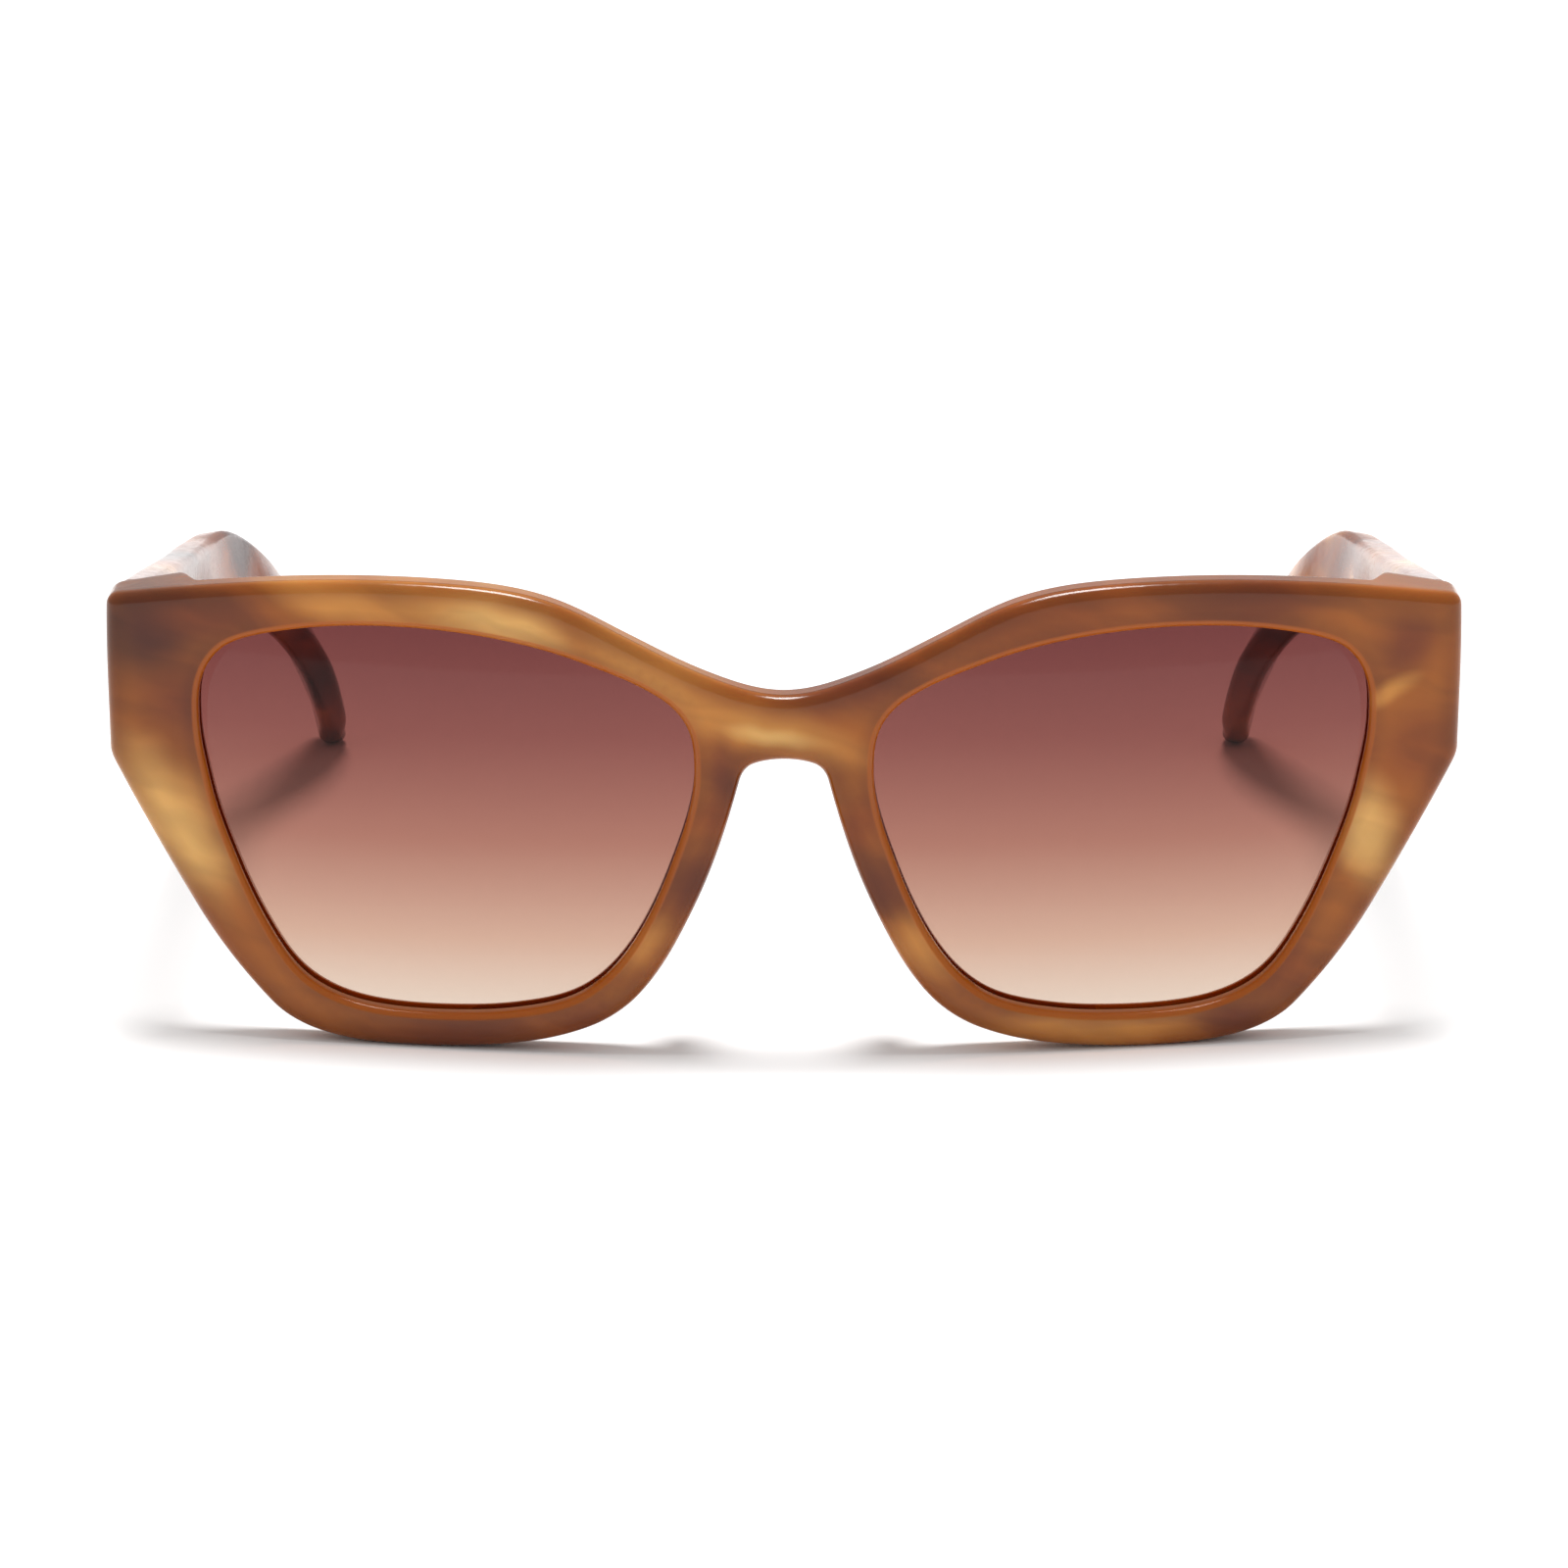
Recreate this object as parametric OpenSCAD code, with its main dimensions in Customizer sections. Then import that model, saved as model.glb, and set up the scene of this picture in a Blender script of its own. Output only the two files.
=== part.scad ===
// Cat eye sunglasses with an acetate front, tinted lenses and folding temples.
//
// Frame: +X to the wearer's left, +Y towards the back of the head, +Z up.
// The origin lies on the table, midway between the temples and halfway back.
// The glasses stand open, on the two rims and the two temple tips.

/* [Front] */
// Radius of the front's wrap, seen from above
front_r = 230; // [190:5:300]
// Thickness of the front
front_t = 4.8; // [4.6:0.1:5.6]
// How far each lens reaches into its groove
lens_seat = 0.6; // [0.4:0.1:0.8]

/* [Lenses] */
// Radius of the front surface of a lens
lens_r = 145; // [140:5:160]
// Thickness of a lens
lens_t = 1.8; // [1.6:0.1:1.9]
// Depth of a lens's crown behind the front's own surface
lens_sink = 0.3; // [0.1:0.1:0.4]

/* [Hinges] */
// Distance of a hinge pin from the middle plane
pin_x = 67.7; // [67.5:0.1:67.9]
// Distance of a hinge pin behind the bridge
pin_y = 18; // [17.8:0.1:18.2]
// Height of the middle of a hinge above the table
pin_z = 40; // [39.5:0.1:40.5]
// Slope of the temples down towards their tips, in degrees
temple_slope = 8.2; // [7.8:0.1:8.6]
// Height of one hinge knuckle
knuckle_h = 1.25; // [1.1:0.05:1.3]
// Radius of a hinge knuckle
knuckle_r = 1.6; // [1.5:0.05:1.6]
// Radius of the hinge screw's shank
screw_r = 0.7; // [0.6:0.05:0.75]

/* [Temples] */
// Thickness of a temple where it meets the front
temple_t = 4; // [3.8:0.1:4.2]
// Thickness of the wire that stiffens a temple
core_t = 1.2; // [1:0.1:1.4]

/* [Hidden] */
$fn = 48;

acetate = [0.64, 0.38, 0.18];
lens_tint = [0.5, 0.3, 0.28, 0.7];
steel = [0.78, 0.78, 0.76];

// The origin is halfway between the bridge and the tips.
half_depth = 73.83;
far = 200;

// One half of the front's outer edge, from the top of the bridge round to its underside.
// Each point is x, z and the direction in which the edge runs on from it, in degrees.
edge_points = [
  [0, 39.8, 0], [8.4, 41.9, 21.5], [16.8, 45.9, 26.5], [25.1, 49.7, 17.5],
  [33.5, 51.15, 4], [43, 51.4, -0.5], [71.9, 48.6, -9], [73.3, 47.1, -88],
  [73.2, 31.3, -91], [72.5, 29.3, -118], [64.2, 14.8, -121], [55.8, 4, -135],
  [49, 0.7, -168], [40.3, 0, -180], [29.7, 0.6, -187], [21.1, 2.7, -202],
  [15.8, 6.3, -227], [11.4, 12.8, -242.5], [7.5, 21.5, -250], [4.75, 30.4, -255],
  [3.2, 32.25, -199], [0, 32.75, -180]
];
// The edge of a lens opening, clockwise from its nasal side, in the same form.
opening_points = [
  [9.6, 31.5, 90], [10.2, 35.9, 68], [13.2, 39.4, 33], [21.7, 43.2, 20],
  [32.5, 45.8, 8], [43.7, 46.5, -1], [53.5, 45.55, -11], [59.2, 44, -24],
  [62.9, 39.4, -75], [63.2, 35, -92], [62.1, 28.4, -102], [59.25, 19.8, -111.5],
  [55.9, 12.65, -119.5], [51.1, 6.7, -146], [43.9, 4.25, -173], [36.6, 3.95, -181],
  [29.1, 4.5, -189], [21.2, 7, -214], [15.6, 13.4, -240], [12, 21.4, -250],
  [9.6, 31.5, -270]
];
edge_steps = 6;
opening_steps = 5;

lens_mid = [36.4, 25.2];
lens_gap = 0.05;

// The lug behind each end of the front, which the temple butts against.
lug_inner = 65;
lug_bottom = 32;
joint_gap = 0.12;

knuckle_gap = 0.06;
knuckle_step = knuckle_h + knuckle_gap;
stack_h = 5 * knuckle_h + 4 * knuckle_gap;
front_knuckles = [-2, 0, 2];
temple_knuckles = [-1, 1];
bore_r = screw_r + 0.05;
relief_r = knuckle_r + 0.25;
relief_h = stack_h + 0.5;
head_r = 1.15;
head_h = 0.6;
head_sink = 0.5;
slot_w = 0.3;

tongue_t = 1.2;
tongue_end = 5.6;
arm_start = knuckle_r + 0.3;

// The temple's inner face, and the leaf set into it, measured out from the pin.
temple_inner = 0.9;
leaf_proud = 0.2;
leaf_t = 1.1;
leaf_end = 12.5;
leaf_h = 5.4;
front_rivet_at = 5;
back_rivet_at = 9.5;
rivet_r = 0.6;
rivet_len = 2.2;
rivet_head_r = 0.95;
rivet_head_h = 0.25;

// Sections of a temple from the joint to the tip. Each has the y and z of its middle,
// its pitch, the x of its middle, its lean, its height and its thickness.
temple_mid = pin_x + temple_inner + temple_t / 2;
temple_sections = [
  [pin_y + joint_gap, 40.3, -temple_slope, temple_mid, 0, 16.4, temple_t],
  [40, 38, -7, temple_mid, 0, 14.4, temple_t],
  [65, 34.95, -6.9, temple_mid, 0, 12.6, 4.2],
  [88, 32.3, -7.5, temple_mid - 0.4, 3, 11.6, 4.3],
  [103, 30.8, -14, 68.1, 12, 10.8, 4.2],
  [116, 25.4, -31, 64.1, 24, 9.8, 4.2],
  [128, 16.8, -36, 61, 30, 9.4, 4.1],
  [139, 7.8, -38, 59.2, 22, 8.8, 3.7],
  [143.6, 4.04, -38, 58.9, 13, 8, 3.4]
];
section_steps = 5;
corner_r = 1.2;
corner_steps = 3;
tip_steps = 4;
tip_len = 4.2;
core_h = 2.6;
core_first = 1;
core_last = 7;

// Handle length of a cubic that stands for an arc with this turn and chord.
function handle(turn, chord) =
  abs(turn) < 0.1 ? chord / 3 : chord * 2 / 3 * tan(turn / 4) / sin(turn / 2);
function cubic(a, b, c, d, t) =
  a * pow(1 - t, 3) + 3 * b * t * pow(1 - t, 2) + 3 * c * pow(t, 2) * (1 - t) + d * pow(t, 3);
function heading(p) = [cos(p[2]), sin(p[2])];
function place(p) = [p[0], p[1]];
function stretch(a, b, t) =
  let (h = handle(b[2] - a[2], norm(place(b) - place(a))))
  cubic(place(a), place(a) + h * heading(a), place(b) - h * heading(b), place(b), t);
// The points of a smooth line through the given points, without the last one.
function trace(points, steps) =
  [for (i = [0:len(points) - 2]) for (k = [0:steps - 1])
    stretch(points[i], points[i + 1], k / steps)];
function unit(v) = v / norm(v);
// A closed clockwise line moved outwards by d.
function grown(points, d) =
  let (n = len(points))
  [for (i = [0:n - 1])
    let (along = unit(points[(i + 1) % n] - points[(i + n - 1) % n]))
    points[i] + d * [-along[1], along[0]]];

edge_half = concat(trace(edge_points, edge_steps), [place(edge_points[len(edge_points) - 1])]);
edge_line = concat(
  edge_half, [for (i = [len(edge_half) - 2:-1:1]) [-edge_half[i][0], edge_half[i][1]]]);
opening_line = trace(opening_points, opening_steps);

// Catmull-Rom blend of four neighbouring sections.
function blend(a, b, c, d, t) =
  0.5 * (2 * b + (c - a) * t + (2 * a - 5 * b + 4 * c - d) * pow(t, 2)
    + (3 * b - 3 * c + d - a) * pow(t, 3));
function section_at(i, t) =
  let (n = len(temple_sections) - 1, s = temple_sections,
    before = i == 0 ? 2 * s[0] - s[1] : s[i - 1],
    after = i + 2 > n ? 2 * s[n] - s[n - 1] : s[i + 2])
  blend(before, s[i], s[i + 1], after, t);
function sections(first, last) = concat(
  [for (i = [first:last - 1]) for (k = [0:section_steps - 1]) section_at(i, k / section_steps)],
  [temple_sections[last]]);
// The last stretch of a temple, rounded like the end of an ellipse.
function tip_section(k) =
  let (s = temple_sections[len(temple_sections) - 1], a = 90 * k / (tip_steps + 0.35),
    ahead = tip_len * sin(a), size = cos(a))
  [s[0] + ahead * cos(s[2]), s[1] + ahead * sin(s[2]), s[2], s[3] - ahead * 0.12, s[4],
    s[5] * size, s[6] * size];

// A rounded rectangle, h high and t thick, centred, as points across and up.
function rounded(h, t) =
  let (r = min(corner_r, 0.45 * min(h, t)), dx = t / 2 - r, dz = h / 2 - r)
  [for (q = [0:3]) for (k = [0:corner_steps])
    let (a = 90 * q + 90 * k / corner_steps, sx = q == 0 || q == 3 ? 1 : -1, sz = q < 2 ? 1 : -1)
    [sx * dx + r * cos(a), sz * dz + r * sin(a)]];
// Stands a flat outline up on a section: lean rolls it inwards at the bottom.
function stand(outline, s) =
  [for (p = outline)
    let (across = p[0] * cos(s[4]) + p[1] * sin(s[4]), up = p[1] * cos(s[4]) - p[0] * sin(s[4]))
    [s[3] + across, s[0] - up * sin(s[2]), s[1] + up * cos(s[2])]];
function joined(lists) = [for (l = lists) for (p = l) p];

// A closed skin over rings that all have the same number of points.
module skin(rings) {
  n = len(rings[0]);
  m = len(rings);
  polyhedron(
    points = joined(rings),
    faces = concat(
      [[for (i = [0:n - 1]) i]],
      [for (j = [0:m - 2]) for (i = [0:n - 1])
        [j * n + i, (j + 1) * n + i, (j + 1) * n + (i + 1) % n]],
      [for (j = [0:m - 2]) for (i = [0:n - 1])
        [j * n + i, (j + 1) * n + (i + 1) % n, j * n + (i + 1) % n]],
      [[for (i = [n - 1:-1:0]) (m - 1) * n + i]]));
}

// Everything is drawn for the wearer's left, at +X, and mirrored for the right.
module side(name) {
  if (name == "left") children();
  if (name == "right") mirror([1, 0, 0]) children();
}
module on_table() {
  translate([0, -half_depth, 0]) children();
}
// The hinge's own frame: Z along the pin, Y back along the temple, X outwards.
module at_hinge() {
  translate([pin_x, pin_y, pin_z]) rotate([-temple_slope, 0, 0]) children();
}
// A flat outline in x and z, drawn out from y = from to y = to.
module drawn(points, from, to) {
  translate([0, to, 0]) rotate([90, 0, 0]) linear_extrude(height = to - from) polygon(points);
}
module wrap_cylinder(r) {
  translate([0, front_r, -1]) cylinder(r = r, h = 60, $fn = 360);
}
// The shell that a lens is cut from, thicker and wider by gap on every side.
module lens_blank(gap) {
  turn = asin(lens_mid[0] / front_r);
  crown = front_r - sqrt(pow(front_r, 2) - pow(lens_mid[0], 2)) + lens_sink;
  centre = [lens_mid[0] - lens_r * sin(turn), crown + lens_r * cos(turn), lens_mid[1]];
  intersection() {
    drawn(grown(opening_line, lens_seat + gap), -1, 22);
    difference() {
      translate(centre) sphere(r = lens_r + gap, $fn = 96);
      translate(centre) sphere(r = lens_r - lens_t - gap, $fn = 96);
    }
  }
}

module front_plate() {
  intersection() {
    drawn(edge_line, -1, 24);
    difference() {
      wrap_cylinder(front_r);
      wrap_cylinder(front_r - front_t);
    }
  }
}
module lug() {
  intersection() {
    drawn(edge_line, 4, 24);
    wrap_cylinder(front_r - 1);
    translate([lug_inner, 0, lug_bottom]) cube([20, 40, 40]);
    at_hinge() translate([-far / 2, -far, -far / 2]) cube([far, far, far]);
  }
}
// Room for the knuckles, and the slot that the hinge's tongue is sunk into.
module hinge_seat() {
  at_hinge() {
    translate([0, 0, -relief_h / 2]) cylinder(r = relief_r, h = relief_h);
    translate([-tongue_t / 2, -tongue_end, -stack_h / 2]) cube([tongue_t, tongue_end, stack_h]);
  }
}
module front_frame() {
  color(acetate) on_table() difference() {
    union() {
      front_plate();
      for (name = ["left", "right"]) side(name) lug();
    }
    for (name = ["left", "right"]) side(name) {
      drawn(opening_line, -1, 24);
      lens_blank(lens_gap);
      hinge_seat();
    }
  }
}
module lens(name) {
  color(lens_tint) on_table() side(name) lens_blank(0);
}
// A pad behind the nasal rim: narrow at the top, and set further back in its middle.
module nose_pad(name) {
  color(acetate) on_table() side(name) intersection() {
    wrap_cylinder(front_r - front_t);
    hull() {
      translate([8.3, 4.5, 26]) sphere(r = 1.5, $fn = 24);
      translate([10.2, 4.5, 20]) sphere(r = 1.9, $fn = 24);
      translate([13.1, 4.5, 14]) sphere(r = 1.7, $fn = 24);
      translate([9.7, 8.6, 19.5]) sphere(r = 1.6, $fn = 24);
      translate([12, 8.2, 15.5]) sphere(r = 1.4, $fn = 24);
    }
  }
}

module knuckles(places) {
  for (k = places) translate([0, 0, k * knuckle_step - knuckle_h / 2])
    cylinder(r = knuckle_r, h = knuckle_h);
}
module pin_bore() {
  translate([0, 0, -stack_h]) cylinder(r = bore_r, h = 2 * stack_h);
}
// Three knuckles on a tongue that is sunk into the lug.
module front_hinge(name) {
  color(steel) on_table() side(name) at_hinge() difference() {
    union() {
      knuckles(front_knuckles);
      for (k = front_knuckles)
        translate([-tongue_t / 2, -arm_start, k * knuckle_step - knuckle_h / 2])
          cube([tongue_t, arm_start, knuckle_h]);
      translate([-tongue_t / 2, -tongue_end, -stack_h / 2])
        cube([tongue_t, tongue_end - arm_start, stack_h]);
    }
    pin_bore();
    translate([0, 0, stack_h / 2 - head_sink]) cylinder(r = head_r + 0.05, h = 1);
  }
}
module hinge_screw(name) {
  color(steel) on_table() side(name) at_hinge() difference() {
    union() {
      translate([0, 0, -stack_h / 2]) cylinder(r = screw_r, h = stack_h - head_sink);
      translate([0, 0, stack_h / 2 - head_sink]) cylinder(r = head_r, h = head_h);
    }
    translate([-2, -slot_w / 2, stack_h / 2 - head_sink + head_h / 2]) cube([4, slot_w, 1]);
  }
}
// Two knuckles on a leaf that lies in the temple's inner face.
module temple_leaf() {
  translate([temple_inner - leaf_proud, arm_start, -leaf_h / 2])
    cube([leaf_t, leaf_end - arm_start, leaf_h]);
}
module temple_hinge(name) {
  color(steel) on_table() side(name) at_hinge() difference() {
    union() {
      knuckles(temple_knuckles);
      temple_leaf();
      for (k = temple_knuckles)
        translate([temple_inner - leaf_proud, joint_gap, k * knuckle_step - knuckle_h / 2])
          cube([leaf_t, arm_start, knuckle_h]);
    }
    pin_bore();
    rivet_hole(front_rivet_at);
    rivet_hole(back_rivet_at);
  }
}
module rivet_hole(y) {
  translate([temple_inner - leaf_proud, y, 0]) rotate([0, 90, 0])
    cylinder(r = rivet_r + 0.02, h = leaf_t + rivet_len);
}
module rivet(name, y) {
  color(steel) on_table() side(name) at_hinge()
    translate([temple_inner - leaf_proud, y, 0]) rotate([0, 90, 0]) {
      cylinder(r = rivet_r, h = leaf_t + rivet_len);
      translate([0, 0, -rivet_head_h]) cylinder(r = rivet_head_r, h = rivet_head_h);
    }
}
module core_wire(name) {
  color(steel) on_table() side(name)
    skin([for (s = sections(core_first, core_last)) stand(rounded(core_h, core_t), s)]);
}
// Solid acetate, with a recess for the leaf, the knuckles and the rivets.
module temple(name) {
  rings = concat(
    [for (s = sections(0, len(temple_sections) - 1)) stand(rounded(s[5], s[6]), s)],
    [for (k = [1:tip_steps]) let (s = tip_section(k)) stand(rounded(s[5], s[6]), s)]);
  color(acetate) on_table() side(name) difference() {
    skin(rings);
    at_hinge() {
      translate([0, 0, -relief_h / 2]) cylinder(r = relief_r, h = relief_h);
      temple_leaf();
      for (k = temple_knuckles)
        translate([temple_inner - leaf_proud, -1, k * knuckle_step - knuckle_h / 2])
          cube([leaf_t, arm_start + 1, knuckle_h]);
      rivet_hole(front_rivet_at);
      rivet_hole(back_rivet_at);
    }
  }
}

front_frame();
lens("left");  // left_lens
lens("right");  // right_lens
nose_pad("left");  // left_nose_pad
nose_pad("right");  // right_nose_pad
front_hinge("left");  // left_front_hinge
front_hinge("right");  // right_front_hinge
hinge_screw("left");  // left_hinge_screw
hinge_screw("right");  // right_hinge_screw
temple_hinge("left");  // left_temple_hinge
temple_hinge("right");  // right_temple_hinge
rivet("left", front_rivet_at);  // left_front_rivet
rivet("right", front_rivet_at);  // right_front_rivet
rivet("left", back_rivet_at);  // left_back_rivet
rivet("right", back_rivet_at);  // right_back_rivet
core_wire("left");  // left_core_wire
core_wire("right");  // right_core_wire
temple("left");  // left_temple
temple("right");  // right_temple
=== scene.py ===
"""Cat eye sunglasses: a streaked acetate front, gradient lenses and folding temples, on a white table."""
import math

import bmesh
import bpy
import numpy as np
from mathutils import Matrix, Vector, geometry


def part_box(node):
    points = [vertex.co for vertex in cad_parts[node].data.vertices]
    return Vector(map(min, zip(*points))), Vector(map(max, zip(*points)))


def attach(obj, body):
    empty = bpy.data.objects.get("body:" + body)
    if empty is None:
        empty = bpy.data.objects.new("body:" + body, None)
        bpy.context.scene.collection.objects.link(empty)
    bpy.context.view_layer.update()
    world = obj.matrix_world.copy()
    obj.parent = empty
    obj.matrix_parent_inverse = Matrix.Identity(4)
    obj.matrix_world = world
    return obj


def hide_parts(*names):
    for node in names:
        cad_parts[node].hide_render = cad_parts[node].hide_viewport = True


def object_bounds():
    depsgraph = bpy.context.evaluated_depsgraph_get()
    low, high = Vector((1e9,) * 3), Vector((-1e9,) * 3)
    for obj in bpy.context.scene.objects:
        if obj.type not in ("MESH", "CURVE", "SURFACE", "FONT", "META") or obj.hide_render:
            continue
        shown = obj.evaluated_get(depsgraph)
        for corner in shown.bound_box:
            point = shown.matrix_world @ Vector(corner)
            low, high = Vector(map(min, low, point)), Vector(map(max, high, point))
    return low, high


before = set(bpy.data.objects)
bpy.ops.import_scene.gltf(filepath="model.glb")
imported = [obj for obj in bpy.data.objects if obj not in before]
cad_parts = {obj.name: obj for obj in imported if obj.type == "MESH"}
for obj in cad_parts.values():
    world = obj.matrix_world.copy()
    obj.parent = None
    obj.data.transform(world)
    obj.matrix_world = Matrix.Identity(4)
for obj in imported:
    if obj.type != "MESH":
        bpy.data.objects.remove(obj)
cad_low, cad_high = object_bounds()

MM = 0.001
# Shapes are in millimetres, measured from the front of the bridge, until they become meshes in metres.
BRIDGE_Y = cad_low.y
SIDES = {"left": 1, "right": -1}

# ---------------------------------------------------------------- sizes shared with the CAD model
FRONT_R = 230
FRONT_T = 4.8
LENS_SEAT = 0.6
LENS_R = 145
LENS_T = 1.8
LENS_SINK = 0.3
LENS_MID = (36.4, 25.2)
LUG_INNER = 63.2
LUG_BLEND = 2.6
LUG_BOTTOM = 30.4
LUG_BOTTOM_BLEND = 2
PIN = (67.7, 18, 40)
SLOPE = math.radians(8.2)
RELIEF_R = 1.85
RELIEF_H = 7
LEAF_X = 0.7
LEAF_T = 1.1
LEAF_START = -0.1
LEAF_END = 12.5
LEAF_H = 5.4

# One half of the front's outer edge: x, z and the direction in which the edge runs on, in degrees.
EDGE_POINTS = [
    (0, 39.8, 0), (8.4, 41.9, 21.5), (16.8, 45.9, 26.5), (25.1, 49.7, 17.5),
    (33.5, 51.15, 4), (43, 51.4, -0.5), (71.9, 48.6, -9), (73.3, 47.1, -88),
    (73.2, 31.3, -91), (72.5, 29.3, -118), (64.2, 14.8, -121), (55.8, 4, -135),
    (49, 0.7, -168), (40.3, 0, -180), (29.7, 0.6, -187), (21.1, 2.7, -202),
    (15.8, 6.3, -227), (11.4, 12.8, -242.5), (7.5, 21.5, -250), (4.75, 30.4, -255),
    (3.2, 32.25, -199), (0, 32.75, -180),
]
# The opening on the wearer's left, clockwise from its nasal side, in the same form.
OPENING_POINTS = [
    (9.6, 31.5, 90), (10.2, 35.9, 68), (13.2, 39.4, 33), (21.7, 43.2, 20),
    (32.5, 45.8, 8), (43.7, 46.5, -1), (53.5, 45.55, -11), (59.2, 44, -24),
    (62.9, 39.4, -75), (63.2, 35, -92), (62.1, 28.4, -102), (59.25, 19.8, -111.5),
    (55.9, 12.65, -119.5), (51.1, 6.7, -146), (43.9, 4.25, -173), (36.6, 3.95, -181),
    (29.1, 4.5, -189), (21.2, 7, -214), (15.6, 13.4, -240), (12, 21.4, -250),
    (9.6, 31.5, -270),
]
# Temple sections: y and z of the middle, pitch, x of the middle, lean, height and thickness.
TEMPLE_SECTIONS = [
    (18.12, 40.3, -8.2, 70.6, 0, 16.4, 4), (40, 38, -7, 70.6, 0, 14.4, 4),
    (65, 34.95, -6.9, 70.6, 0, 12.6, 4.2), (88, 32.3, -7.5, 70.2, 3, 11.6, 4.3),
    (103, 30.8, -14, 68.1, 12, 10.8, 4.2), (116, 25.4, -31, 64.1, 24, 9.8, 4.2),
    (128, 16.8, -36, 61, 30, 9.4, 4.1), (139, 7.8, -38, 59.2, 22, 8.8, 3.7),
    (143.6, 4.04, -38, 58.9, 13, 8, 3.4),
]
# The rounded tip: its length, the last angle of its ellipse, its rings and how far it bends inwards.
TIP_LEN = 4.1
TIP_LAST = 78
TIP_STEPS = 9
TIP_BEND = 0.12

# Distances between neighbouring points: along the outlines, on the faces, on the lugs and on the lenses.
OUTLINE_GAP = 0.42
FACE_GAP = 0.9
LUG_GAP = 0.5
LENS_OUTLINE_GAP = 0.6
LENS_GAP = 1.6
EDGE_STEPS = 24
OPENING_STEPS = 16
# A point on a face keeps this share of the face's gap away from the outlines.
CLEAR_SHARE = 0.55
# The rows of a grid of equal triangles are this share of its gap apart.
ROW_SHARE = 0.866
# The outer edge keeps this far inside the CAD model's.
EDGE_SPARE = 0.01

# ---------------------------------------------------------------- lines and outlines
def handle(turn, chord):
    """Handle length of a cubic that stands for an arc with this turn, in degrees, and chord."""
    if abs(turn) < 0.1:
        return chord / 3
    half = math.radians(turn) / 2
    return chord * 2 / 3 * math.tan(half / 2) / math.sin(half)


def trace(points, steps):
    """Points of a smooth line through the given ones, without the last."""
    line = []
    for a, b in zip(points, points[1:]):
        start, end = np.array(a[:2]), np.array(b[:2])
        reach = handle(b[2] - a[2], np.linalg.norm(end - start))
        ahead, behind = math.radians(a[2]), math.radians(b[2])
        c1 = start + reach * np.array([math.cos(ahead), math.sin(ahead)])
        c2 = end - reach * np.array([math.cos(behind), math.sin(behind)])
        for t in np.arange(steps) / steps:
            u = 1 - t
            line.append(u**3 * start + 3 * u * u * t * c1 + 3 * u * t * t * c2 + t**3 * end)
    return line


def resample(loop, gap):
    """The same closed loop with points about gap apart."""
    closed = np.vstack([loop, loop[:1]])
    along = np.concatenate([[0], np.cumsum(np.linalg.norm(np.diff(closed, axis=0), axis=1))])
    at = np.linspace(0, along[-1], int(along[-1] / gap), endpoint=False)
    return np.column_stack([np.interp(at, along, closed[:, k]) for k in range(2)])


def grown(loop, d):
    """A closed clockwise loop moved outwards by d."""
    run = np.roll(loop, -1, 0) - np.roll(loop, 1, 0)
    run /= np.linalg.norm(run, axis=1)[:, None]
    return loop + d * np.column_stack([-run[:, 1], run[:, 0]])


def edge_loop(gap):
    """The front's outer edge, clockwise."""
    half = np.array(trace(EDGE_POINTS, EDGE_STEPS) + [EDGE_POINTS[-1][:2]])
    other = half[-2:0:-1] * [-1, 1]
    return grown(resample(np.vstack([half, other]), gap), -EDGE_SPARE)


def opening_loop(side, gap):
    """A lens opening, clockwise."""
    loop = resample(np.array(trace(OPENING_POINTS, OPENING_STEPS)), gap)
    return loop if side > 0 else loop[::-1] * [-1, 1]


def inside(points, loop):
    """Which points lie in a closed loop."""
    x, z = points[:, 0, None], points[:, 1, None]
    ax, az = loop[:, 0], loop[:, 1]
    bx, bz = np.roll(ax, -1), np.roll(az, -1)
    rise = np.where(bz == az, 1e-12, bz - az)
    cross = ((az > z) != (bz > z)) & (x < (bx - ax) * (z - az) / rise + ax)
    return cross.sum(1) % 2 == 1


def distance(points, loop):
    """How far each point is from the nearest point of a loop, worked out in batches."""
    return np.concatenate([np.linalg.norm(part[:, None] - loop[None], axis=2).min(1)
                           for part in np.array_split(points, 40)])


def hex_grid(low, high, gap):
    """Points in staggered rows, each with six neighbours."""
    rows = np.arange(low[1], high[1], gap * ROW_SHARE)
    grid = [(x + (i % 2) * gap / 2, z) for i, z in enumerate(rows) for x in np.arange(low[0], high[0], gap)]
    return np.array(grid)


def fill(outer, holes, grids):
    """Triangulates the area between loops. Returns every 2D point and the triangles."""
    loops = [outer, *holes]
    inner = []
    for grid, gap in grids:
        keep = inside(grid, outer)
        for hole in holes:
            keep &= ~inside(grid, hole)
        grid = grid[keep]
        for loop in loops:
            grid = grid[distance(grid, loop) > gap * CLEAR_SHARE]
        if inner:
            grid = grid[distance(grid, np.vstack(inner)) > gap * CLEAR_SHARE]
        inner.append(grid)
    points = np.vstack([*loops, *inner])
    edges = []
    start = 0
    for loop in loops:
        n = len(loop)
        edges += [(start + i, start + (i + 1) % n) for i in range(n)]
        start += n
    found = geometry.delaunay_2d_cdt([Vector(p) for p in points], edges, [], 0, 1e-6, True)
    first = [ids[0] for ids in found[3]]
    faces = np.array([[first[i] for i in f] for f in found[2]])
    middle = points[faces].mean(1)
    keep = inside(middle, outer)
    for hole in holes:
        keep &= ~inside(middle, hole)
    return points, faces[keep]


# ---------------------------------------------------------------- surfaces of the front and the lenses
def smooth(t):
    """Eases from 0 to 1."""
    t = np.clip(t, 0, 1)
    return t * t * (3 - 2 * t)


def front_y(p):
    """The front's face, wrapped round a cylinder."""
    return FRONT_R - np.sqrt(FRONT_R**2 - p[:, 0] ** 2)


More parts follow.
